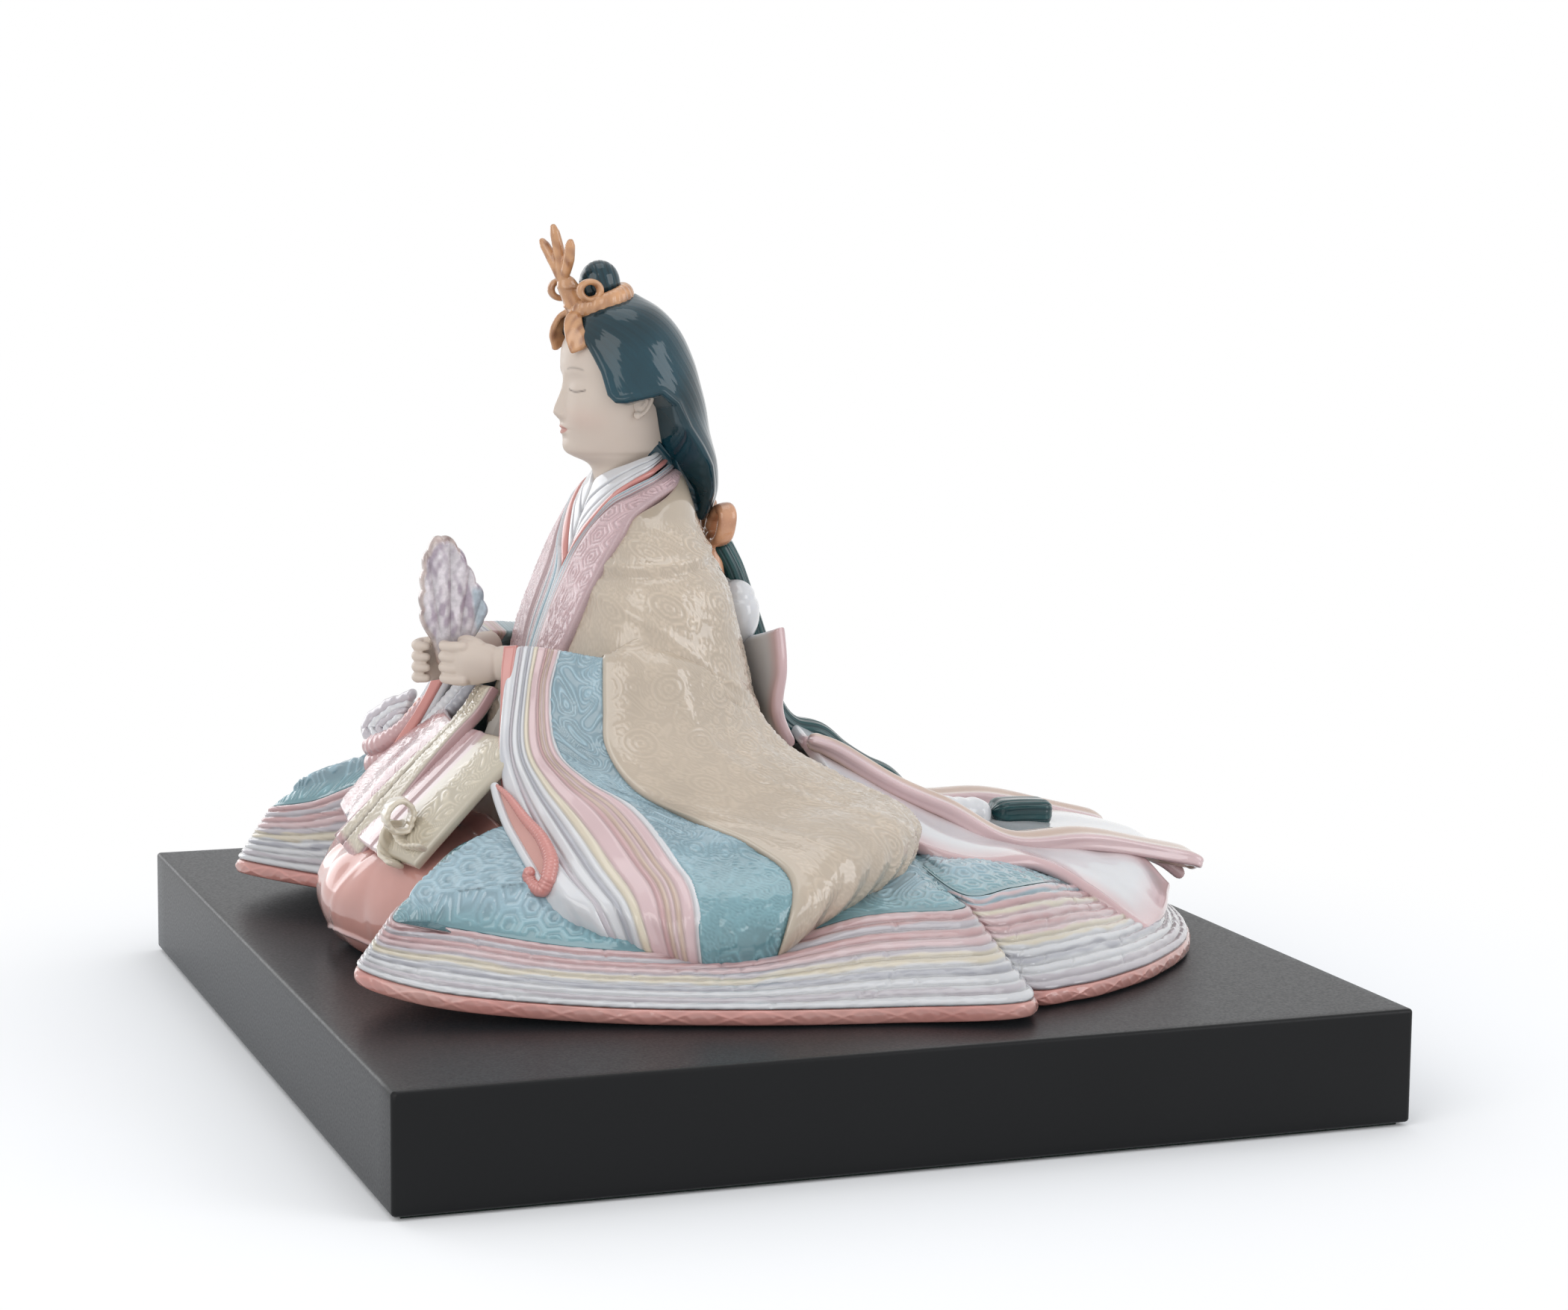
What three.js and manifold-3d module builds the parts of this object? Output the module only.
// Hina doll: a seated court lady of fired porcelain on a black lacquered plinth.
// Millimetres, +Z up, the doll faces -Y and her left hand side is +X.
// The origin is the middle of the plinth's underside.
import * as THREE from 'three';
import Module from 'manifold-3d';

const wasm = await Module();
wasm.setup();

// Plinth
const PLINTH_WIDTH = 454;
const PLINTH_DEPTH = 400;
const PLINTH_HEIGHT = 46;
const BOARD_THICKNESS = 10;
const RAIL_THICKNESS = 15;
const PANEL_THICKNESS = 6;
const FELT_THICKNESS = 1.5;
const FELT_INSET = 4;
const EDGE_RADIUS = 1.5;

// Figure: the three sizes that the body tables are shares of
const BODY_HALF_WIDTH = 200;
const BODY_HALF_LENGTH = 200;
const BODY_HEIGHT = 200;
// Head: from the hair tie to the top of the hair
const HAIR_HEIGHT = 100;
const HAND_LENGTH = 26;
const FAN_HEIGHT = 53;
const CROWN_HEIGHT = 37;

// Walls and bands
const BODY_WALL = 7;
const HEM_ROLL = 6;
const HEM_BULGE = 1.4;
const LAYER_RIB = 0.7;
const SLEEVE_WALL = 9;
const SLEEVE_LIP = 2;
const COLLAR_WALL = 5;
const RED_COLLAR_WALL = 2;
const COLLAR_RISE = 0.3;
const TRAIN_WALL = 5;
const RIBBON_WIDTH = 20;
const RIBBON_WALL = 6;
const CLOTH_WALL = 5;
const WAIST_PANEL_WALL = 5;
const TAIL_WIDTH = 17;
const TAIL_THICKNESS = 11;
const PALM_THICKNESS = 13;
const PALM_WIDTH = 19;
const FINGER_RADIUS = 2.9;
const FAN_WALL = 8;
const HEADBAND_RADIUS = 3.8;
const HEADBAND_END_WIDTH = 7.2;
const HEADBAND_END_WALL = 3;
const CROWN_BLADE_WIDTH = 5.4;
const CROWN_BLADE_WALL = 3.6;
const CROWN_LOOP_RADIUS = 4.6;
const LOOP_WALL = 4;

// Clearance between neighbours, and the most that a sharp corner moves to keep it
const GAP = 0.3;
const CORNER_SHARE = 5;
const SETTLING_ROUNDS = 60;

const LAYER_COUNT = 2;
const ROBE_POINTS = 24;
const OVAL_POINTS = 16;

const PALETTE = {
  lacquer: ['#17191b', 0.4],
  felt: ['#22302a', 0.95],
  core: ['#d9d4cc', 0.5],
  skin: ['#d8cabc', 0.45],
  hair: ['#2f5460', 0.18],
  gold: ['#c98f55', 0.3],
  bow: ['#a86a3e', 0.25],
  cream: ['#d3c3ae', 0.25],
  blue: ['#8db0b9', 0.22],
  pink: ['#dcbcbf', 0.22],
  rose: ['#c79fa4', 0.24],
  salmon: ['#c98c82', 0.26],
  white: ['#dfe1e4', 0.2],
  layers: ['#d6cdc4', 0.22],
  fan: ['#c9c4cb', 0.3],
};

// Points and rows

const PER_CENT = 0.01;

function bodyPoint([x, y, z]) {
  return new THREE.Vector3(
    x * PER_CENT * BODY_HALF_WIDTH,
    y * PER_CENT * BODY_HALF_LENGTH,
    z * PER_CENT * BODY_HEIGHT,
  );
}

// The middle of the head's frame: the hair tie's height, under the crown
const HEAD_ORIGIN_SHARES = [0, -22, 83];

function headPoint([x, y, z]) {
  const place = new THREE.Vector3(x, y, z).multiplyScalar(PER_CENT * HAIR_HEIGHT);
  return place.add(bodyPoint(HEAD_ORIGIN_SHARES));
}

function mirrored(point) {
  return new THREE.Vector3(-point.x, point.y, point.z);
}

function raised(ring, rise) {
  return ring.map((point) => point.clone().add(new THREE.Vector3(0, 0, rise)));
}

function smoothRow(points, count) {
  const curve = new THREE.CatmullRomCurve3(points, false, 'catmullrom', 0.5);
  return Array.from({ length: count }, (_, i) => curve.getPoint(i / (count - 1)));
}

function smoothRing(points, count) {
  const curve = new THREE.CatmullRomCurve3(points, true, 'catmullrom', 0.5);
  return Array.from({ length: count }, (_, i) => curve.getPoint(i / count));
}

// Smooths a table of rows along both directions
function smoothGrid(rows, rowCount, columnCount) {
  const wide = rows.map((row) => smoothRow(row, columnCount));
  return smoothAcross(wide, rowCount);
}

function smoothAcross(rows, rowCount) {
  const columns = rows[0].map((_, i) => smoothRow(rows.map((row) => row[i]), rowCount));
  return Array.from({ length: rowCount }, (_, k) => columns.map((column) => column[k]));
}

function blendRings(from, to, share) {
  return from.map((point, i) => point.clone().lerp(to[i], share));
}

function middle(points) {
  const sum = points.reduce((total, point) => total.add(point), new THREE.Vector3());
  return sum.divideScalar(points.length);
}

// A level oval between two widths and two depths, rounder or squarer by its power
function oval({ half, front, back, height, power = 2.4, count = OVAL_POINTS }) {
  const centre = (front + back) / 2;
  const reach = (back - front) / 2;
  const bend = (value) => Math.sign(value) * Math.abs(value) ** (2 / power);
  return Array.from({ length: count }, (_, i) => {
    const angle = (i / count) * 2 * Math.PI;
    return new THREE.Vector3(
      half * bend(Math.sin(angle)),
      centre - reach * bend(Math.cos(angle)),
      height,
    );
  });
}

// Closed bodies

function volumeOf(points, faces) {
  let total = 0;
  for (let i = 0; i < faces.length; i += 3) {
    const [a, b, c] = [points[faces[i]], points[faces[i + 1]], points[faces[i + 2]]];
    total += a.dot(b.clone().cross(c));
  }
  return total / 6;
}

function body(points, faces) {
  const turned = volumeOf(points, faces) < 0 ? faces.slice().reverse() : faces;
  const geometry = new THREE.BufferGeometry().setFromPoints(points);
  geometry.setIndex(turned);
  return geometry;
}

// A skin over a row of rings, closed at both ends by a fan round the end's middle
function loft(rings, capStart = middle(rings[0]), capEnd = middle(rings.at(-1))) {
  const size = rings[0].length;
  const points = rings.flat().map((point) => point.clone());
  const faces = [];
  const last = (rings.length - 1) * size;
  for (let k = 0; k < last; k += size) {
    for (let i = 0; i < size; i += 1) {
      const next = (i + 1) % size;
      faces.push(k + i, k + next, k + size + next, k + i, k + size + next, k + size + i);
    }
  }
  const start = points.push(capStart.clone()) - 1;
  const end = points.push(capEnd.clone()) - 1;
  for (let i = 0; i < size; i += 1) {
    const next = (i + 1) % size;
    faces.push(start, next, i, end, last + i, last + next);
  }
  return body(points, faces);
}

function gridNormals(grid) {
  const rows = grid.length;
  const columns = grid[0].length;
  const pick = (i, j) => grid[Math.min(Math.max(i, 0), rows - 1)][Math.min(Math.max(j, 0), columns - 1)];
  return grid.map((row, i) => row.map((_, j) => {
    const along = pick(i + 1, j).clone().sub(pick(i - 1, j));
    const across = pick(i, j + 1).clone().sub(pick(i, j - 1));
    return along.cross(across).normalize();
  }));
}

// A plate under a grid of points
function plate(grid, thickness) {
  const rows = grid.length;
  const columns = grid[0].length;
  const normals = gridNormals(grid);
  const under = grid.map((row, i) => row.map((point, j) => (
    point.clone().addScaledVector(normals[i][j], -thickness)
  )));
  const points = [...grid.flat().map((point) => point.clone()), ...under.flat()];
  const top = (i, j) => i * columns + j;
  const low = (i, j) => rows * columns + i * columns + j;
  const faces = [];
  const quad = (a, b, c, d) => faces.push(a, b, c, a, c, d);
  for (let i = 0; i < rows - 1; i += 1) {
    for (let j = 0; j < columns - 1; j += 1) {
      quad(top(i, j), top(i + 1, j), top(i + 1, j + 1), top(i, j + 1));
      quad(low(i, j), low(i, j + 1), low(i + 1, j + 1), low(i + 1, j));
    }
    quad(top(i, 0), low(i, 0), low(i + 1, 0), top(i + 1, 0));
    quad(top(i, columns - 1), top(i + 1, columns - 1), low(i + 1, columns - 1), low(i, columns - 1));
  }
  for (let j = 0; j < columns - 1; j += 1) {
    quad(top(0, j), top(0, j + 1), low(0, j + 1), low(0, j));
    quad(top(rows - 1, j), low(rows - 1, j), low(rows - 1, j + 1), top(rows - 1, j + 1));
  }
  return body(points, faces);
}

// A round or flat bar along a row of points; sizes gives its half width and half height
function bar(path, sizes, { sides = 8, across = new THREE.Vector3(1, 0, 0) } = {}) {
  const rings = path.map((point, i) => {
    const before = path[Math.max(i - 1, 0)];
    const after = path[Math.min(i + 1, path.length - 1)];
    const along = after.clone().sub(before).normalize();
    const side = across.clone().addScaledVector(along, -across.dot(along)).normalize();
    const up = along.clone().cross(side);
    const [wide, high] = sizes(i / (path.length - 1));
    return Array.from({ length: sides }, (_, k) => {
      const angle = (k / sides) * 2 * Math.PI;
      return point.clone()
        .addScaledVector(side, wide * Math.cos(angle))
        .addScaledVector(up, high * Math.sin(angle));
    });
  });
  return loft(rings);
}

// A rounded lump with its three half sizes
function lump(centre, [x, y, z]) {
  const sphere = new THREE.SphereGeometry(1, 8, 6);
  return welded(sphere.scale(x, y, z).translate(centre.x, centre.y, centre.z));
}

// Joins and cuts

function welded(geometry) {
  const position = geometry.getAttribute('position');
  const seen = new Map();
  const points = [];
  const label = Array.from({ length: position.count }, (_, i) => {
    const point = new THREE.Vector3().fromBufferAttribute(position, i);
    const key = point.toArray().map((value) => value.toFixed(3)).join(' ');
    if (!seen.has(key)) {
      seen.set(key, points.push(point) - 1);
    }
    return seen.get(key);
  });
  const index = geometry.index ? Array.from(geometry.index.array) : label.map((_, i) => i);
  const faces = [];
  for (let i = 0; i < index.length; i += 3) {
    const [a, b, c] = [label[index[i]], label[index[i + 1]], label[index[i + 2]]];
    if (a !== b && b !== c && a !== c) {
      faces.push(a, b, c);
    }
  }
  return body(points, faces);
}

function toSolid(geometry) {
  return new wasm.Manifold(new wasm.Mesh({
    numProp: 3,
    vertProperties: new Float32Array(geometry.getAttribute('position').array),
    triVerts: new Uint32Array(geometry.index.array),
  }));
}

function toGeometry(solid) {
  const mesh = solid.getMesh();
  const geometry = new THREE.BufferGeometry();
  const places = new Float32Array(mesh.vertProperties);
  geometry.setAttribute('position', new THREE.BufferAttribute(places, 3));
  geometry.setIndex(Array.from(mesh.triVerts));
  return welded(geometry);
}

// A shift that carries a corner clear of every face that meets there
function cornerShift(normals, distance) {
  const shift = new THREE.Vector3();
  for (let round = 0; round < SETTLING_ROUNDS; round += 1) {
    normals.forEach((normal) => {
      const short = distance - shift.dot(normal);
      shift.addScaledVector(normal, Math.max(0, short));
    });
  }
  return shift.clampLength(0, distance * CORNER_SHARE);
}

// The same body with each face moved out by a distance
function grown(geometry, distance) {
  const position = geometry.getAttribute('position');
  const faces = Array.from(geometry.index.array);
  const points = Array.from({ length: position.count }, (_, i) => (
    new THREE.Vector3().fromBufferAttribute(position, i)
  ));
  const around = points.map(() => []);
  for (let i = 0; i < faces.length; i += 3) {
    const corners = faces.slice(i, i + 3);
    const triangle = new THREE.Triangle(...corners.map((corner) => points[corner]));
    const normal = triangle.getNormal(new THREE.Vector3());
    corners.forEach((corner) => around[corner].push(normal));
  }
  const moved = points.map((point, i) => point.clone().add(cornerShift(around[i], distance)));
  return body(moved, faces);
}

function largest(solid) {
  const parts = solid.decompose();
  return parts.reduce((best, part) => (part.volume() > best.volume() ? part : best));
}

// The room that a body takes up, with the gap that its neighbours keep
function cutterOf(geometry) {
  const wider = grown(geometry, GAP);
  wider.computeBoundingBox();
  return { box: wider.boundingBox, solid: toSolid(wider) };
}

// Cuts the room of its neighbours out of a body, and keeps its main piece
function fitted(geometry, cutters) {
  geometry.computeBoundingBox();
  const near = cutters.filter(({ box }) => box.intersectsBox(geometry.boundingBox));
  const cut = near.reduce((solid, cutter) => solid.subtract(cutter.solid), toSolid(geometry));
  return toGeometry(largest(cut));
}

function joined(...geometries) {
  const [first, ...rest] = geometries.map(toSolid);
  return toGeometry(largest(rest.reduce((solid, next) => solid.add(next), first)));
}

function without(geometry, cutter) {
  return toGeometry(largest(toSolid(geometry).subtract(toSolid(cutter))));
}

function mirroredBody(geometry) {
  const position = geometry.getAttribute('position');
  const points = Array.from({ length: position.count }, (_, i) => (
    mirrored(new THREE.Vector3().fromBufferAttribute(position, i))
  ));
  return body(points, Array.from(geometry.index.array));
}

// Core casting

// Each row: height, half width, front, back
const CORE_SHARES = [
  [0, 50, -62, 72],
  [7, 48, -62, 68],
  [17, 38, -61, 48],
  [30, 27, -56, 18],
  [44, 24, -50, 5],
  [59, 20, -44, -3],
];

function coreRings(inset) {
  return CORE_SHARES.map(([height, half, front, back]) => oval({
    half: half * PER_CENT * BODY_HALF_WIDTH - inset,
    front: front * PER_CENT * BODY_HALF_LENGTH + inset,
    back: back * PER_CENT * BODY_HALF_LENGTH - inset,
    height: height * PER_CENT * BODY_HEIGHT - inset,
  }));
}

function coreCasting() {
  return without(loft(coreRings(0)), loft(coreRings(BODY_WALL)));
}

// Robe that spreads in front

// Perimeter rings of the left wing: tip, side hem, rear corner, inner side, front edge
const WING_HEM_SHARES = [
  [56.5, -92, 5.5], [68, -79, 2.5], [79, -53, 0.5], [88.5, -27, 0.2], [95, 0, 0.2], [101, 25, 1],
  [75, 30, 0.2], [40, 31, 0.2], [25, 0, 0.2], [22.5, -35, 0.2], [27.5, -67, 4], [42.5, -83, 5],
];
const WING_BORDER_SHARES = [
  [55, -85, 17], [53, -74, 14.5], [62, -51, 11], [67, -22, 9.5], [69, 4, 15], [73, 22.5, 16],
  [64, 25, 17], [40, 27, 20], [30, 0, 25], [27.5, -35, 27.5], [31, -63, 27], [44, -78, 20],
];
const WING_CREST_SHARES = [
  [50, -77.5, 21], [47, -66, 21], [50, -46, 18], [54, -22, 17], [56, 3, 19], [57, 15, 20],
  [53, 18, 21], [42.5, 19, 23], [36, 0, 27], [34, -32.5, 30], [35, -55, 30], [42, -69, 26],
];
// The right wing stands higher than the left one
const RIGHT_BORDER_RISE_SHARE = 1.15;
const RIGHT_CREST_RISE_SHARE = 1.25;
// How far the middle of a layer's top lies below its rim
const DISH_SHARE = 0.6;

function hemRoll(hemRing, rise) {
  const centre = middle(hemRing);
  const swell = (ring, distance) => ring.map((point) => {
    const out = point.clone().sub(centre).setZ(0).normalize();
    return point.clone().addScaledVector(out, distance);
  });
  return [
    hemRing,
    swell(raised(hemRing, rise / 3), HEM_BULGE),
    swell(raised(hemRing, (rise * 2) / 3), HEM_BULGE),
    raised(hemRing, rise),
  ];
}

// Terraces of many thin layers between two rings
function terraces(from, to, count) {
  const rings = [];
  const centre = middle(from);
  const push = (share, out) => rings.push(blendRings(from, to, share).map((point) => {
    const away = point.clone().sub(centre).setZ(0).normalize();
    return point.addScaledVector(away, out);
  }));
  for (let k = 0; k < count; k += 1) {
    push(k / count, 0);
    push((k + 0.5) / count, LAYER_RIB);
  }
  push(1, 0);
  return rings;
}

function robeParts(hemTable, borderTable, crestTable) {
  const ring = (table) => smoothRing(table.map(bodyPoint), ROBE_POINTS);
  const hem = ring(hemTable);
  const border = ring(borderTable);
  const crest = ring(crestTable);
  const top = middle(crest);
  const lowMiddle = middle(hem);
  const hemTop = lowMiddle.clone().setZ(lowMiddle.z + HEM_ROLL);
  const layerBase = hemTop.clone().setZ(hemTop.z + GAP);
  const layerTop = middle(border);
  layerTop.z *= DISH_SHARE;
  const outerBase = layerTop.clone().setZ(layerTop.z + GAP);
  return {
    roll: loft(hemRoll(hem, HEM_ROLL), lowMiddle, hemTop),
    layers: loft(terraces(raised(hem, HEM_ROLL + GAP), border, LAYER_COUNT), layerBase, layerTop),
    outer: loft([
      raised(border, GAP),
      blendRings(raised(border, GAP), crest, 0.5),
      crest,
      blendRings(crest, crest.map(() => top), 0.5),
    ], outerBase, top),
  };
}

// Robe behind

const REAR_HEM_HALF_SHARES = [
  [0, 20, 0.2], [50, 26, 0.2], [87.5, 29, 0.2], [88.5, 41, 0.2], [83, 52.5, 0.2], [73.5, 65.5, 0.2],
  [57, 80, 0.2], [33, 89.5, 0.2], [0, 93.5, 0.2],
];
const REAR_BORDER_HALF_SHARES = [
  [0, 22, 27], [42, 24, 21], [67, 26, 17.5], [64, 37.5, 17.5], [56.5, 48.5, 16.5], [48.5, 57.5, 14],
  [39, 67, 12], [24, 76, 11], [0, 80, 12],
];
const REAR_CREST_HALF_SHARES = [
  [0, 28, 27], [35, 28, 22], [50, 29, 21], [49, 36, 20.5], [45, 44, 19], [39, 51, 17],
  [31, 58, 16], [19, 62, 16], [0, 64, 16.5],
];

function wholeTable(halfTable) {
  const back = halfTable.slice(1, -1).reverse().map(([x, y, z]) => [-x, y, z]);
  return [...halfTable, ...back];
}

// Skirt in front

// Outline of the knees in side view: from the middle back, over the top to the foot
const KNEE_SHARES = [
  [-55, 0.2], [-55, 27], [-62, 26.5], [-70, 25], [-79, 23.5], [-86, 20.5], [-90, 15], [-90.5, 10], [-88.5, 5],
  [-84.5, 1], [-80, 0.2], [-66, 0.2],
];
// Each row: place across, forward share, height share
const KNEE_STATION_SHARES = [
  [-41, 0.14, 0.3], [-37, 0.38, 0.66], [-29, 0.57, 0.92], [-18, 0.75, 1], [-8, 0.86, 0.98], [0, 0.89, 0.96],
  [8, 0.86, 0.98], [18, 0.75, 1], [29, 0.57, 0.92], [37, 0.38, 0.66], [41, 0.14, 0.3],
];
const KNEE_BACK_SHARE = -55;

function kneeSkirt() {
  const rings = KNEE_STATION_SHARES.map(([across, forward, height]) => KNEE_SHARES.map(([y, z]) => (
    bodyPoint([across, KNEE_BACK_SHARE + (y - KNEE_BACK_SHARE) * forward, z * height])
  )));
  const smooth = smoothAcross(rings.map((ring) => smoothRing(ring, 16)), 11);
  return loft(smooth.map((ring) => ring.map((point) => point.setZ(Math.max(point.z, GAP)))));
}

// Jacket

// Each row: height, half width, front, back
const JACKET_SHARES = [
  [36, 37, -50, 7],
  [45, 37, -48.5, 3],
  [56, 35, -44.8, 0.7],
  [68, 31.8, -39.7, -2.4],
  [77, 28.5, -36.5, -6],
  [84, 24.3, -33.5, -8.7],
  [90, 18.9, -29.3, -10],
  [95, 11, -24, -10.5],
  [97.5, 7, -21, -12],
];

function jacketBody() {
  const rings = JACKET_SHARES.map(([height, half, front, back]) => oval({
    half: half * PER_CENT * BODY_HALF_WIDTH,
    front: front * PER_CENT * BODY_HALF_LENGTH,
    back: back * PER_CENT * BODY_HALF_LENGTH,
    height: height * PER_CENT * BODY_HEIGHT,
  }));
  return loft(rings);
}

// Sleeves

// Outer face of the left sleeve: rows run from the forearm down to the rim,
// columns from the open front edge to the trailing corner
const SLEEVE_SHARES = [
  [[17.5, -53, 63], [21, -48.5, 63.5], [24.5, -43.5, 63], [30, -36.5, 62], [33.5, -31, 62], [35, -23.5, 62], [31, -13.5, 60], [24, -5.5, 58]],
  [[21, -55, 55], [24, -51, 55], [28, -46.5, 55], [35, -38, 52.5], [38, -31, 52.5], [38, -21.5, 52], [33, -11, 51], [25, -3.5, 50]],
  [[25, -57, 44.5], [28.5, -53, 44.5], [33, -46.5, 44.5], [39, -38.5, 45], [42.5, -29, 46], [42, -19, 45], [37, -8, 44], [29, 2.5, 42]],
  [[28.5, -57.5, 36], [34, -51.5, 37.5], [40, -42, 39], [45, -34.5, 37.5], [47.5, -23, 39], [46, -11.5, 39], [41, 1, 38], [33, 11.5, 36.5]],
  [[35.5, -57.5, 28], [41.5, -48.5, 31], [47, -35, 34.5], [51, -25, 32], [52.5, -15.5, 32.5], [50.5, -4, 33], [45, 9, 33], [38, 20, 30.5]],
  [[45.5, -57.5, 21.8], [52, -45, 24], [56, -30, 26.5], [59.5, -16.5, 28.5], [59.5, -7.5, 28], [57.5, 1, 29], [51, 13.5, 28.5], [42, 23, 26.5]],
  [[52, -56, 16.5], [58, -40.5, 17.6], [63.5, -28, 20], [66.5, -10.5, 21.5], [65.5, -4, 22.5], [62, 4.5, 23.5], [55, 15, 23.5], [46, 23.5, 23]],
  [[55, -51.5, 12.5], [65, -38.5, 8.6], [72, -29, 7.4], [74, -15, 9.4], [70, -5, 13.2], [63, 6, 15.5], [56, 16.5, 18], [49, 24, 21]],
];
// Where the bands meet, counted in columns of the table
const BAND_EDGE_SHARES = { lining: 0, white: 0.16, pink: 0.62, blue: 2, cream: 3, end: 7 };
// How much further forward each row's open edge lies
const LEFT_REACH_SHARES = [0, 0, 0, 0, 0, 0, 0, 0];
const RIGHT_REACH_SHARES = [0, 2, 5, 9, 9, 6, 3, 0];

function sleeveRows(reachShares) {
  return SLEEVE_SHARES.map((row, k) => row.map(([x, y, z], j) => {
    const fade = Math.max(0, 1 - j / BAND_EDGE_SHARES.cream);
    return bodyPoint([x, y - reachShares[k] * fade, z]);
  }));
}

function sleeveBand(rows, { from, to, rise, wall, columnCount }) {
  const curves = rows.map((row) => new THREE.CatmullRomCurve3(row, false, 'catmullrom', 0.5));
  const last = SLEEVE_SHARES[0].length - 1;
  const strip = curves.map((curve) => Array.from({ length: columnCount }, (_, j) => (
    curve.getPoint((from + ((to - from) * j) / (columnCount - 1)) / last)
  )));
  const grid = smoothAcross(strip, 10);
  const normals = gridNormals(grid);
  const outer = grid.map((row, i) => row.map((point, j) => (
    point.clone().addScaledVector(normals[i][j], rise)
  )));
  return plate(outer, wall);
}

// Collars

// Lines round the neck, from the front crossing up to the nape, on the left half
const NECK_LINE_SHARES = [
  [0.4, -29.5, 94], [2, -29, 95.5], [5, -27.5, 97], [7.5, -25, 98.3], [8.5, -22, 99.5],
  [7, -18, 100.5], [0, -15.5, 101.3],
];
const WHITE_LINE_SHARES = [
  [0.4, -34.8, 79], [3.5, -33.5, 84], [7.5, -31.5, 88.5], [11, -28, 93], [12.3, -24.5, 95.5],
  [10, -19, 98], [0, -13.5, 100],
];
const RED_LINE_SHARES = [
  [0.4, -36, 76.5], [4.5, -34.8, 81.8], [8.8, -32.5, 87], [12, -29.3, 91.8], [13, -25.5, 94.3],
  [11, -19, 97], [0, -12.6, 99.2],
];
const STACK_INNER_SHARES = [
  [1, -44, 54], [1, -40, 65], [1.2, -36.6, 75.5], [5, -35.4, 81], [9.3, -33, 86.5],
  [12.2, -29.8, 91.3], [13.3, -26, 93.8], [11.3, -18.9, 96.7], [0, -12.4, 98.9],
];
const STACK_OUTER_SHARES = [
  [4, -45, 50], [5.5, -41.5, 65], [6.8, -36.5, 77.5], [9.2, -34, 83.6], [11.2, -31.6, 87.5],
  [13.2, -28.8, 90.6], [14, -25.4, 92.4], [12, -18.4, 95.6], [0, -11.4, 97.6],
];
const PATTERN_OUTER_SHARES = [
  [16, -44, 50], [18, -40.5, 63], [19, -37, 71.5], [20, -33, 79.5], [20.2, -30, 84.5],
  [19, -27, 88.5], [17.5, -23, 90.8], [12, -15, 93.8], [0, -10.3, 95.3],
];

function collar(innerTable, outerTable, wall) {
  const line = (table) => {
    const left = table.map(bodyPoint);
    const right = left.slice(0, -1).map(mirrored);
    return [...right, ...left.reverse()];
  };
  const outer = line(outerTable);
  const rows = line(innerTable).map((point, i) => [
    point,
    point.clone().lerp(outer[i], 0.5),
    outer[i],
  ]);
  const grid = smoothAcross(rows, 15);
  const normals = gridNormals(grid);
  const crowned = grid.map((row, i) => row.map((point, j) => (
    point.clone().addScaledVector(normals[i][j], j === 1 ? COLLAR_RISE : 0)
  )));
  return plate(crowned, wall);
}

// Train

// Rows run back from the waist, columns from the outer border to the ribbon
const TRAIN_SIDE_SHARES = [
  [[31, 15, 30], [22, 14, 36], [13, 13, 40.5]],
  [[40, 22, 24], [29, 22, 30], [17.5, 22.5, 35]],
  [[49, 34, 19.5], [36, 36, 22.5], [22, 37.5, 26.5]],
  [[46, 51, 18], [37, 52, 18.5], [25.5, 52, 20]],
  [[51, 61, 12.5], [39, 65, 15], [26, 70.5, 18]],
  [[57, 66.5, 7.5], [43, 74, 11], [27, 82.5, 15.5]],
  [[60.5, 70, 5], [47, 80.5, 6], [31, 89.5, 8]],
];
const TRAIN_MIDDLE_SHARES = [
  [[13, 13, 41], [0, 14, 43], [-13, 13, 41]],
  [[18, 22, 36], [0, 23, 38], [-18, 22, 36]],
  [[23, 37, 27], [0, 38, 29], [-23, 37, 27]],
  [[26, 51.5, 20.5], [0, 52, 20.5], [-26, 51.5, 20.5]],
  [[27, 70, 18.5], [0, 70, 18.5], [-27, 70, 18.5]],
  [[26, 83, 16.5], [0, 85, 17.5], [-26, 83, 16.5]],
  [[26, 90, 14], [0, 94, 15.5], [-26, 90, 14]],
  [[27, 95, 10.5], [0, 98.5, 11], [-27, 95, 10.5]],
];
const RIBBON_SHARES = [
  [14, 13, 40], [18.5, 22.5, 35], [22.5, 37.5, 26.5], [26.5, 51.5, 19.5], [26, 70.5, 17.5],
  [24.5, 91, 14], [25, 98, 10.5],
];

function trainPanel(table, rowCount) {
  return plate(smoothGrid(table.map((row) => row.map(bodyPoint)), rowCount, 4), TRAIN_WALL);
}

function trainRibbon() {
  const path = smoothRow(RIBBON_SHARES.map(bodyPoint), 14);
  return bar(path, () => [RIBBON_WIDTH / 2, RIBBON_WALL / 2]);
}

// Waist

const WAIST_PANEL_SHARES = [
  [[18, 6.5, 65], [9, 4, 62.5], [0, 3, 61], [-9, 4, 62.5], [-18, 6.5, 65]],
  [[19, 7, 56], [10, 5, 55], [0, 4, 54], [-10, 5, 55], [-19, 7, 56]],
  [[19, 6, 48], [10, 6, 47], [0, 6, 46], [-10, 6, 47], [-19, 6, 48]],
  [[16, 10, 40.5], [9, 9.5, 40], [0, 9, 39], [-9, 9.5, 40], [-16, 10, 40.5]],
];
const WAIST_PAD_PLACE_SHARES = [0, 0.5, 66.5];
const WAIST_PAD_SIZE_SHARES = [11, 5.5, 8];

function bodyLump(place, size) {
  return lump(bodyPoint(place), bodyPoint(size).toArray());
}

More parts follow.
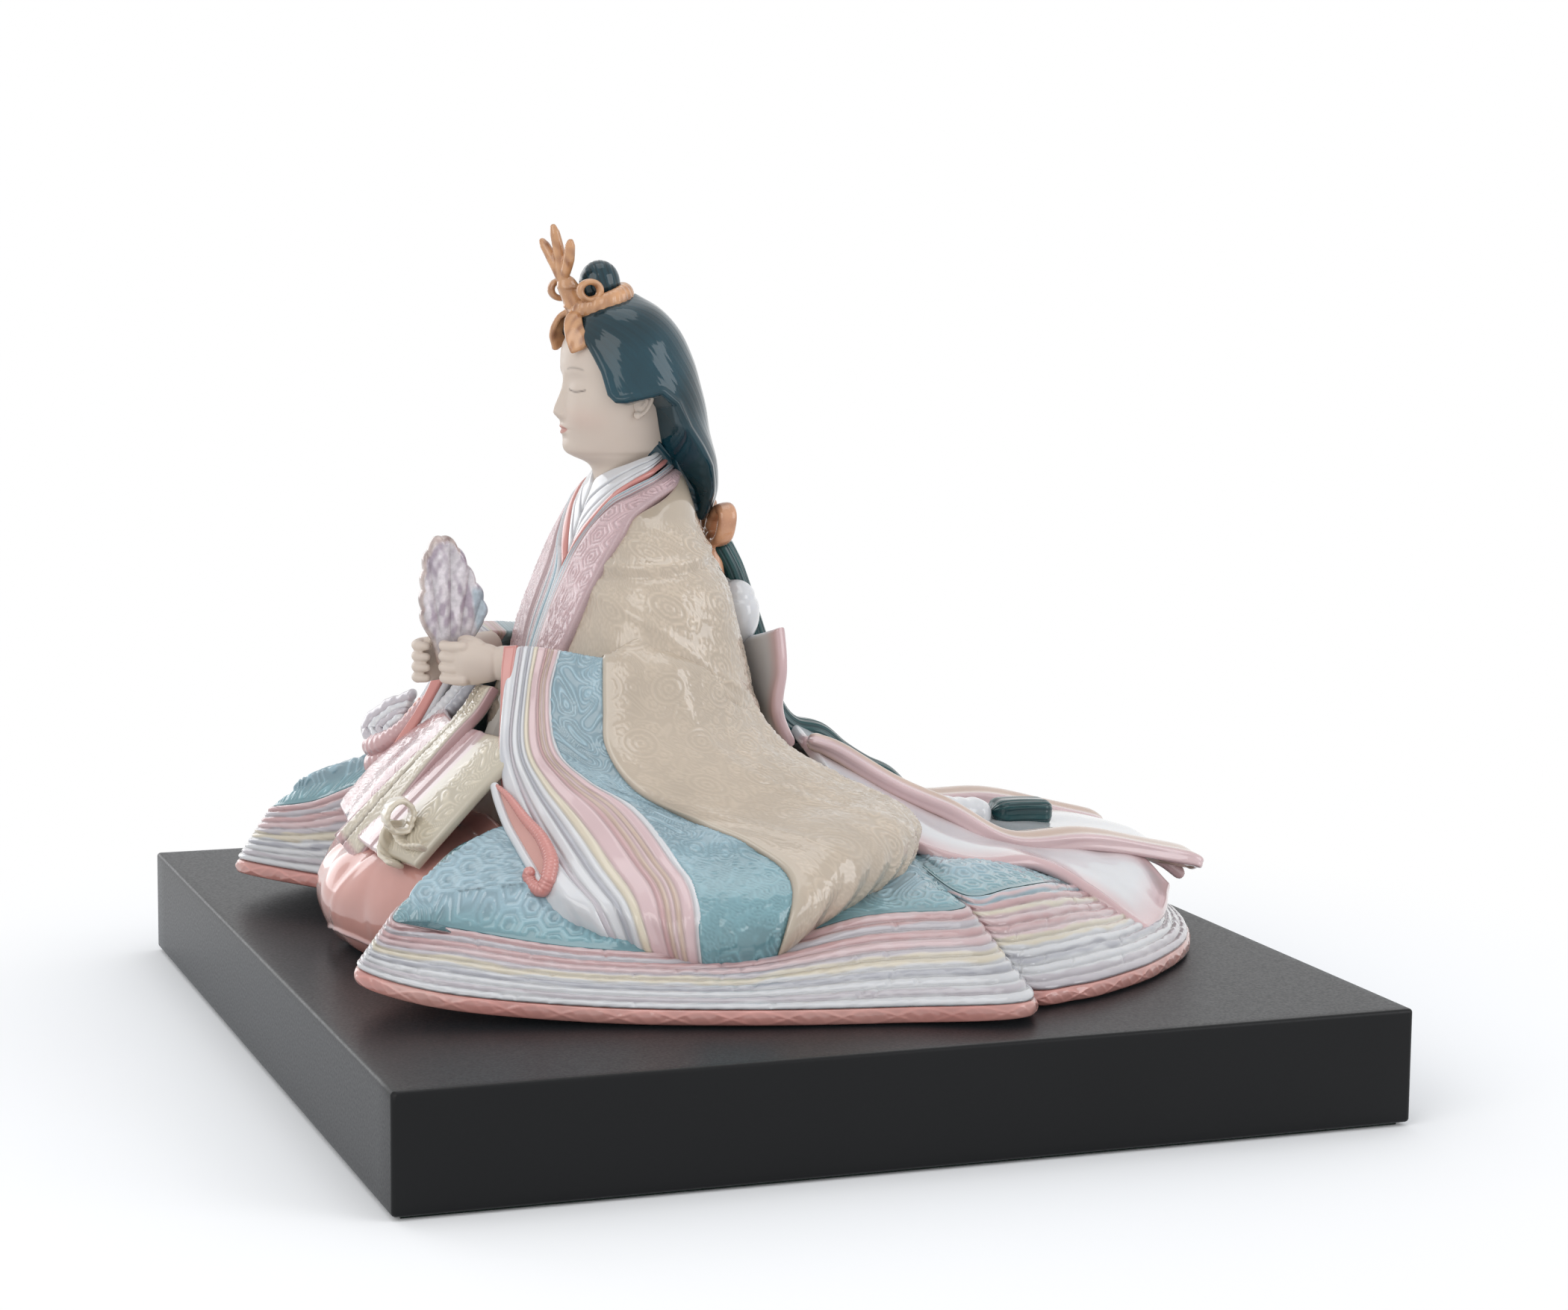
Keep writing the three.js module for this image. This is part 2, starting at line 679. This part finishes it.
function waistPanel() {
  return plate(smoothGrid(WAIST_PANEL_SHARES.map((row) => row.map(bodyPoint)), 7, 9), WAIST_PANEL_WALL);
}

// Front cloths

const PINK_CLOTH_SHARES = [
  [[-27, -53, 46], [-14, -57, 46], [-2, -58.5, 45]],
  [[-29, -61, 39], [-15, -65, 39], [-2, -66, 37]],
  [[-29, -69, 32], [-16, -72.5, 32], [-2.5, -73.5, 30]],
  [[-25, -76, 25], [-16, -79, 26], [-4, -80, 24]],
];
const CREAM_CLOTH_SHARES = [
  [[2, -59, 45], [15, -57, 46], [28, -52, 45]],
  [[2.5, -67, 36.5], [16, -66, 37.5], [29, -61, 37]],
  [[3, -74, 29], [17, -74, 30], [30, -69, 29]],
  [[4, -80, 23], [18, -80, 23.5], [30, -75, 22.5]],
];
const SASH_SHARES = [
  [[4, -60, 43.5], [12, -60, 44]],
  [[2, -68.5, 36], [10.5, -67, 35.5]],
  [[0, -76, 28.5], [9.5, -73.5, 27]],
  [[-2.5, -82, 22], [7, -79.5, 18]],
];
const KNOT_PLACE_SHARES = [[22, -75, 30], [26, -73.5, 28], [23, -77, 25.5]];
const KNOT_SIZE_SHARES = [[4, 2.4, 3.4], [3.6, 2.4, 3], [3, 2.2, 4.4]];

function frontCloth(table, wall, columnCount) {
  return plate(smoothGrid(table.map((row) => row.map(bodyPoint)), 6, columnCount), wall);
}

function sashKnot() {
  const lumps = KNOT_PLACE_SHARES.map((place, i) => bodyLump(place, KNOT_SIZE_SHARES[i]));
  return joined(...lumps);
}

// Head

// Each row: height, half width, front, back, in the head's frame
const FACE_SHARES = [
  [16, 11, -13, 8],
  [28, 11.5, -15, 10],
  [33, 13, -23, 15],
  [36, 15.5, -26, 16],
  [43, 18.5, -27.3, 17],
  [50, 20.7, -27.8, 18.5],
  [61, 22.6, -26.8, 20.5],
  [72, 23, -27.5, 20],
  [80, 21, -26, 18],
  [88, 15, -20, 11],
  [92, 9, -13, 5],
  [94, 4, -7, 0],
];
const NOSE_SHARES = [[0, -27.3, 61], [0, -28.6, 55], [0, -30.2, 50.5], [0, -28.2, 48]];
const NOSE_WIDTH_SHARES = [1.2, 1.6, 2.6, 1.8];
const EAR_SHARES = [22.6, -1, 56];
const EAR_SIZE_SHARES = [2.2, 4.5, 7];

function headRings(table) {
  return table.map(([height, half, front, back]) => {
    const low = headPoint([0, front, height]);
    return oval({
      half: half * PER_CENT * HAIR_HEIGHT,
      front: low.y,
      back: headPoint([0, back, height]).y,
      height: low.z,
      power: 2.15,
    });
  });
}

function headLump(place, size) {
  return lump(headPoint(place), size.map((value) => value * PER_CENT * HAIR_HEIGHT));
}

function nose() {
  const widths = NOSE_WIDTH_SHARES.map((width) => width * PER_CENT * HAIR_HEIGHT);
  return bar(NOSE_SHARES.map(headPoint), (share) => {
    const width = widths[Math.round(share * (widths.length - 1))];
    return [width, width];
  });
}

function head() {
  const [earX, earY, earZ] = EAR_SHARES;
  return joined(
    loft(headRings(FACE_SHARES)),
    nose(),
    headLump([earX, earY, earZ], EAR_SIZE_SHARES),
    headLump([-earX, earY, earZ], EAR_SIZE_SHARES),
  );
}

// Hair

const HAIR_SHARES = [
  [6, 8, 20, 33],
  [12, 15, 12, 36.8],
  [21, 25, 2, 38],
  [33, 31.5, -11, 37],
  [48, 34, -26, 33],
  [60, 33.2, -28, 29.8],
  [72, 30.5, -28, 26.4],
  [84, 26, -25.5, 20.8],
  [93, 18.5, -20, 12.8],
  [99, 5, -8, 3],
];
// Side view of the opening for the face: over the brow, down to the ear, back to the nape
const FACE_OPENING_SHARES = [
  [-51, 84], [-25, 84], [-23, 79], [-19, 68], [-16, 56], [-6, 57.5], [4, 59.5], [10, 55], [15, 45],
  [21, 37], [26, 29], [29, 18], [30, 0], [-51, 0],
];
const NAPE_SHARES = [
  [10, 9.5, 21, 32],
  [28, 16, 12.5, 30.5],
  [52, 21, 7, 27],
];
const TOPKNOT_SHARES = [0, -12, 103];
const TOPKNOT_SIZE_SHARES = [8, 8, 9];
const HEADBAND_SHARES = [0, -12, 95.5];
const HEADBAND_RING_SHARE = 11;
const HEADBAND_TILT = Math.PI / 9;
const HEADBAND_END_SHARES = [[3, -25, 91], [6, -29, 88], [9, -29.5, 82], [12, -27.5, 76]];

// A prism that runs across the head with the opening's side view
function faceOpening() {
  const reach = BODY_HALF_WIDTH;
  const ring = (across) => FACE_OPENING_SHARES.map(([y, z]) => headPoint([0, y, z]).setX(across));
  return loft([ring(-reach), ring(reach)]);
}

function hairCap() {
  return without(loft(headRings(HAIR_SHARES)), faceOpening());
}

function headband() {
  const ring = welded(new THREE.TorusGeometry(
    HEADBAND_RING_SHARE * PER_CENT * HAIR_HEIGHT,
    HEADBAND_RADIUS,
    6,
    14,
  ).rotateX(HEADBAND_TILT).translate(...headPoint(HEADBAND_SHARES).toArray()));
  const left = bar(
    smoothRow(HEADBAND_END_SHARES.map(headPoint), 5),
    () => [HEADBAND_END_WIDTH / 2, HEADBAND_END_WALL / 2],
  );
  return joined(ring, left, mirroredBody(left));
}

// Crown

// Its foot is a place on the head, and the other places are shares of its own height from there
const CROWN_FOOT_SHARES = [0, -28, 90];
const CROWN_NECK_SHARES = [0, 0, 43];
const CROWN_TIP_SHARES = [[-19, -19, 84], [0, -11, 100], [22, 3, 84]];
const CROWN_LOOP_SHARES = { left: [27, 24, 28], right: [-24, 6, 28] };
// Share of the full width along a blade, from its root to its point
const BLADE_SWELL_SHARES = [0.5, 0.9, 1, 0.85, 0.55, 0.2];
const STEM_SWELL_SHARES = [1, 0.85, 0.65];

function crownPoint([x, y, z]) {
  const place = new THREE.Vector3(x, y, z).multiplyScalar(PER_CENT * CROWN_HEIGHT);
  return place.add(headPoint(CROWN_FOOT_SHARES));
}

// A flat bar between two places, as wide at each step as its swell says
function leaf(from, to, width, wall, swell) {
  const last = swell.length - 1;
  const path = swell.map((_, i) => from.clone().lerp(to, i / last));
  return bar(path, (share) => {
    const size = swell[Math.round(share * last)];
    return [(width / 2) * size, (wall / 2) * size];
  });
}

function crownBlades() {
  const foot = crownPoint([0, 0, 0]);
  const neck = crownPoint(CROWN_NECK_SHARES);
  const blades = CROWN_TIP_SHARES.map((tip) => (
    leaf(neck, crownPoint(tip), CROWN_BLADE_WIDTH, CROWN_BLADE_WALL, BLADE_SWELL_SHARES)
  ));
  return joined(
    leaf(foot, neck, 2 * CROWN_BLADE_WIDTH, 2 * CROWN_BLADE_WALL, STEM_SWELL_SHARES),
    ...blades,
  );
}

function crownLoop(place) {
  const ring = new THREE.TorusGeometry(CROWN_LOOP_RADIUS, LOOP_WALL / 2, 6, 14);
  return welded(ring.rotateY(Math.PI / 2).translate(...crownPoint(place).toArray()));
}

// Bow and tail

const BOW_LOOP_SHARES = [9, 38, 3];
const BOW_LOOP_SIZE_SHARES = [9, 6, 9];
const BOW_KNOT_SHARES = [0, 38, 1];
const BOW_KNOT_SIZE_SHARES = [4, 6, 6];
const TAIL_SHARES = [
  [0, -3, 82], [0, -1, 78.5], [0, 0.5, 75.5], [0, 2, 71.5], [0, 4, 66], [0, 6, 60], [0, 7, 55],
  [0, 8.5, 49], [0, 11, 44], [0, 14.5, 41], [0, 20, 39.5], [0, 25, 35.5], [0, 30.5, 32],
  [0, 35.5, 29.5], [0, 40.5, 25], [0, 47, 22],
];
const WRAP_SHARES = [[0, 47.5, 21.8], [0, 54, 20.8], [0, 60.5, 20.5]];
const TAIL_END_SHARES = [[0, 61, 20.5], [0, 68, 20.5], [0, 75, 20]];
const WRAP_SWELL_SHARE = 1.12;

function hairBow() {
  const [x, y, z] = BOW_LOOP_SHARES;
  return joined(
    headLump(BOW_KNOT_SHARES, BOW_KNOT_SIZE_SHARES),
    headLump([x, y, z], BOW_LOOP_SIZE_SHARES),
    headLump([-x, y, z], BOW_LOOP_SIZE_SHARES),
  );
}

function tail(table, swell, count) {
  const path = smoothRow(table.map(bodyPoint), count);
  return bar(path, () => [(TAIL_WIDTH / 2) * swell, (TAIL_THICKNESS / 2) * swell]);
}

// Hands and fan

const FOREARM_SHARES = [21, -42, 58];
const WRIST_SHARES = [10, -52.5, 58.5];
const KNUCKLE_SHARES = [5.5, -60.5, 58.5];
const FINGER_HEIGHT_SHARES = [61.7, 59.5, 57.3, 55.1];
const FINGER_PATH_SHARES = [[6.5, -60.5], [4.5, -63], [1.8, -62.8], [0.6, -61]];
const THUMB_SHARES = [[9, -56, 63], [6, -58.5, 64], [3, -60, 63.5]];
const RIGHT_HAND_SHIFT_SHARES = [0, -2.4, -0.6];
// Share of the full palm from the wrist to the knuckles
const PALM_SWELL_SHARES = [0.82, 0.95, 1, 0.97, 0.85];
const FOREARM_SWELL_SHARES = [0.95, 0.85, 0.8];
const FOREARM_OVERLAP_SHARE = 0.2;
const GRIP_SHARES = [0, -60.8, 57];
// Outline of the folded fan in side view, from the grip, in shares of its height
const FAN_SHARES = [
  [-5, 0], [-10, 18], [-18, 32], [-19, 50], [-18, 70], [-15, 88], [-5, 101], [6, 98], [14, 88], [22, 72],
  [30, 56], [33, 38], [22, 18], [5, 0],
];
const FAN_RIM_SHARES = [0.82, 1, 1, 0.82];

function hand() {
  const wrist = bodyPoint(WRIST_SHARES);
  const reach = bodyPoint(KNUCKLE_SHARES).sub(wrist).setLength(HAND_LENGTH);
  const palm = leaf(wrist, wrist.clone().add(reach), PALM_THICKNESS, PALM_WIDTH, PALM_SWELL_SHARES);
  // The forearm runs on into the sleeve, so that the hand is carried there
  const elbow = bodyPoint(FOREARM_SHARES);
  const inside = wrist.clone().addScaledVector(reach, FOREARM_OVERLAP_SHARE);
  const forearm = leaf(elbow, inside, PALM_THICKNESS, PALM_WIDTH, FOREARM_SWELL_SHARES);
  const fingers = FINGER_HEIGHT_SHARES.map((height) => bar(
    smoothRow(FINGER_PATH_SHARES.map(([x, y]) => bodyPoint([x, y, height])), 5),
    () => [FINGER_RADIUS, FINGER_RADIUS],
    { sides: 6, across: new THREE.Vector3(0, 0, 1) },
  ));
  const thumb = bar(smoothRow(THUMB_SHARES.map(bodyPoint), 4), () => [FINGER_RADIUS, FINGER_RADIUS]);
  return joined(palm, forearm, ...fingers, thumb);
}

function fan() {
  const grip = bodyPoint(GRIP_SHARES);
  const outline = smoothRing(FAN_SHARES.map(([y, z]) => (
    new THREE.Vector3(0, y, z).multiplyScalar(PER_CENT * FAN_HEIGHT)
  )), 20);
  const centre = middle(outline);
  const last = FAN_RIM_SHARES.length - 1;
  return loft(FAN_RIM_SHARES.map((share, k) => outline.map((point) => {
    const place = centre.clone().lerp(point, share).add(grip);
    return place.setX((k / last - 0.5) * FAN_WALL);
  })));
}

// Plinth

function mitredRail(length) {
  const half = length / 2;
  const shape = new THREE.Shape([
    new THREE.Vector2(-half, 0),
    new THREE.Vector2(half, 0),
    new THREE.Vector2(half - RAIL_THICKNESS, RAIL_THICKNESS),
    new THREE.Vector2(-half + RAIL_THICKNESS, RAIL_THICKNESS),
  ]);
  const height = PLINTH_HEIGHT - BOARD_THICKNESS - FELT_THICKNESS;
  return new THREE.ExtrudeGeometry(shape, { depth: height, bevelEnabled: false });
}

function topBoard() {
  const width = PLINTH_WIDTH / 2 - EDGE_RADIUS;
  const depth = PLINTH_DEPTH / 2 - EDGE_RADIUS;
  const shape = new THREE.Shape([
    new THREE.Vector2(-width, -depth),
    new THREE.Vector2(width, -depth),
    new THREE.Vector2(width, depth),
    new THREE.Vector2(-width, depth),
  ]);
  return new THREE.ExtrudeGeometry(shape, {
    depth: BOARD_THICKNESS - 2 * EDGE_RADIUS,
    bevelSize: EDGE_RADIUS,
    bevelThickness: EDGE_RADIUS,
    bevelSegments: 2,
  });
}

// Assembly

function piece(name, geometry, finish, place = [0, 0, 0], turn = 0) {
  const [color, roughness] = PALETTE[finish];
  const material = new THREE.MeshStandardMaterial({ color, roughness, metalness: 0 });
  const mesh = new THREE.Mesh(geometry, material);
  mesh.name = name;
  mesh.position.set(...place);
  mesh.rotation.z = turn;
  return mesh;
}

function slab(width, depth, height) {
  return welded(new THREE.BoxGeometry(width, depth, height));
}

function plinth() {
  const group = new THREE.Group();
  const rails = [
    ['plinth_rail_front', PLINTH_WIDTH, [0, -PLINTH_DEPTH / 2, FELT_THICKNESS], 0],
    ['plinth_rail_left', PLINTH_DEPTH, [PLINTH_WIDTH / 2, 0, FELT_THICKNESS], Math.PI / 2],
    ['plinth_rail_back', PLINTH_WIDTH, [0, PLINTH_DEPTH / 2, FELT_THICKNESS], Math.PI],
    ['plinth_rail_right', PLINTH_DEPTH, [-PLINTH_WIDTH / 2, 0, FELT_THICKNESS], -Math.PI / 2],
  ];
  rails.forEach(([name, length, place, turn]) => {
    group.add(piece(name, welded(mitredRail(length - GAP)), 'lacquer', place, turn));
  });
  const boardBase = PLINTH_HEIGHT - BOARD_THICKNESS + EDGE_RADIUS;
  group.add(piece('plinth_top_board', welded(topBoard()), 'lacquer', [0, 0, boardBase]));
  const inner = 2 * (RAIL_THICKNESS + GAP);
  const panel = slab(PLINTH_WIDTH - inner, PLINTH_DEPTH - inner, PANEL_THICKNESS);
  const panelHeight = FELT_THICKNESS + PANEL_THICKNESS / 2;
  group.add(piece('plinth_bottom_panel', panel, 'lacquer', [0, 0, panelHeight]));
  const edge = 2 * FELT_INSET;
  const felt = slab(PLINTH_WIDTH - edge, PLINTH_DEPTH - edge, FELT_THICKNESS);
  group.add(piece('plinth_base_felt', felt, 'felt', [0, 0, FELT_THICKNESS / 2]));
  return group;
}

// Lays pieces one after another, each cut round the ones before it
class Figure {
  constructor() {
    this.group = new THREE.Group();
    this.cutters = [];
  }

  lay(name, geometry, finish, shape = fitted(geometry, this.cutters)) {
    this.cutters.push(cutterOf(geometry));
    this.group.add(piece(name, shape, finish));
  }

  layPair(name, left, right, finish) {
    this.lay(`${name}_left`, left, finish);
    this.lay(`${name}_right`, mirroredBody(right), finish);
  }
}

function layUpperBody(figure) {
  figure.lay('core_casting', loft(coreRings(0)), 'core', coreCasting());
  figure.lay('head', head(), 'skin');
  const band = (name, inner, outer, wall, finish) => {
    figure.lay(name, collar(inner, outer, wall), finish);
  };
  band('collar_white', NECK_LINE_SHARES, WHITE_LINE_SHARES, COLLAR_WALL, 'white');
  band('collar_red', WHITE_LINE_SHARES, RED_LINE_SHARES, RED_COLLAR_WALL, 'salmon');
  band('collar_stack', STACK_INNER_SHARES, STACK_OUTER_SHARES, COLLAR_WALL, 'layers');
  band('collar_patterned', STACK_OUTER_SHARES, PATTERN_OUTER_SHARES, COLLAR_WALL, 'rose');
  figure.lay('jacket_body', jacketBody(), 'cream');
}

function laySleeves(figure) {
  const edges = BAND_EDGE_SHARES;
  const left = sleeveRows(LEFT_REACH_SHARES);
  const right = sleeveRows(RIGHT_REACH_SHARES);
  const band = (name, from, to, rise, columnCount, finish) => {
    const strip = { from, to, rise, wall: SLEEVE_WALL + rise, columnCount };
    figure.layPair(name, sleeveBand(left, strip), sleeveBand(right, strip), finish);
  };
  band('sleeve_cream', edges.cream, edges.end, SLEEVE_LIP, 8, 'cream');
  band('sleeve_blue', edges.blue, edges.cream, 0, 3, 'blue');
  band('sleeve_layers', edges.pink, edges.blue, 0, 4, 'pink');
  band('sleeve_white', edges.white, edges.pink, 0, 2, 'white');
  band('sleeve_lining', edges.lining, edges.white, -SLEEVE_LIP, 2, 'salmon');
}

// Lifts a table's rows by a share of their height, in full at its most forward row
function rising(table, share) {
  const front = Math.min(...table.map(([, y]) => y));
  return table.map(([x, y, z]) => [x, y, z * (1 + (share - 1) * Math.max(0, y / front))]);
}

function layRobes(figure) {
  figure.lay('skirt_knees', kneeSkirt(), 'salmon');
  const left = robeParts(WING_HEM_SHARES, WING_BORDER_SHARES, WING_CREST_SHARES);
  const right = robeParts(
    WING_HEM_SHARES,
    rising(WING_BORDER_SHARES, RIGHT_BORDER_RISE_SHARE),
    rising(WING_CREST_SHARES, RIGHT_CREST_RISE_SHARE),
  );
  figure.layPair('robe_front_hem', left.roll, right.roll, 'salmon');
  figure.layPair('robe_front_layers', left.layers, right.layers, 'layers');
  figure.layPair('robe_front_outer', left.outer, right.outer, 'blue');
  const rear = robeParts(
    wholeTable(REAR_HEM_HALF_SHARES),
    wholeTable(REAR_BORDER_HALF_SHARES),
    wholeTable(REAR_CREST_HALF_SHARES),
  );
  figure.lay('robe_rear_hem', rear.roll, 'salmon');
  figure.lay('robe_rear_layers', rear.layers, 'layers');
  figure.lay('robe_rear_outer', rear.outer, 'blue');
}

function layTrain(figure) {
  figure.lay('waist_panel', waistPanel(), 'white');
  figure.lay('hair_wrap', tail(WRAP_SHARES, WRAP_SWELL_SHARE, 4), 'white');
  figure.lay('hair_tail', tail(TAIL_SHARES, 1, 18), 'hair');
  figure.lay('hair_tail_end', tail(TAIL_END_SHARES, 1, 4), 'hair');
  figure.lay('waist_pad', bodyLump(WAIST_PAD_PLACE_SHARES, WAIST_PAD_SIZE_SHARES), 'white');
  const ribbon = trainRibbon();
  figure.layPair('train_ribbon', ribbon, ribbon, 'rose');
  const side = trainPanel(TRAIN_SIDE_SHARES, 8);
  figure.lay('train_middle', trainPanel(TRAIN_MIDDLE_SHARES, 8), 'white');
  figure.layPair('train_side', side, side, 'white');
}

function layHair(figure) {
  figure.lay('hair_bow', hairBow(), 'bow');
  figure.lay('hair_cap', hairCap(), 'hair');
  figure.lay('hair_nape', loft(headRings(NAPE_SHARES)), 'hair');
  figure.lay('hair_topknot', headLump(TOPKNOT_SHARES, TOPKNOT_SIZE_SHARES), 'hair');
  figure.lay('headband', headband(), 'gold');
  figure.lay('crown_blades', crownBlades(), 'gold');
  figure.lay('crown_loop_left', crownLoop(CROWN_LOOP_SHARES.left), 'gold');
  figure.lay('crown_loop_right', crownLoop(CROWN_LOOP_SHARES.right), 'gold');
}

function layFront(figure) {
  figure.lay('sash_knot', sashKnot(), 'cream');
  figure.lay('sash_end', frontCloth(SASH_SHARES, -CLOTH_WALL, 3), 'cream');
  figure.lay('front_cloth_cream', frontCloth(CREAM_CLOTH_SHARES, CLOTH_WALL, 4), 'cream');
  figure.lay('front_cloth_pink', frontCloth(PINK_CLOTH_SHARES, CLOTH_WALL, 4), 'rose');
}

function layHands(figure) {
  const left = hand();
  const shift = bodyPoint(RIGHT_HAND_SHIFT_SHARES);
  figure.lay('hand_left', left, 'skin');
  figure.lay('hand_right', mirroredBody(left).translate(shift.x, shift.y, shift.z), 'skin');
  figure.lay('fan', fan(), 'fan');
}

function doll() {
  const group = new THREE.Group();
  const figure = new Figure();
  layUpperBody(figure);
  layHands(figure);
  layRobes(figure);
  laySleeves(figure);
  layFront(figure);
  layTrain(figure);
  layHair(figure);
  figure.group.position.z = PLINTH_HEIGHT + GAP;
  group.add(plinth(), figure.group);
  return group;
}

export default doll();
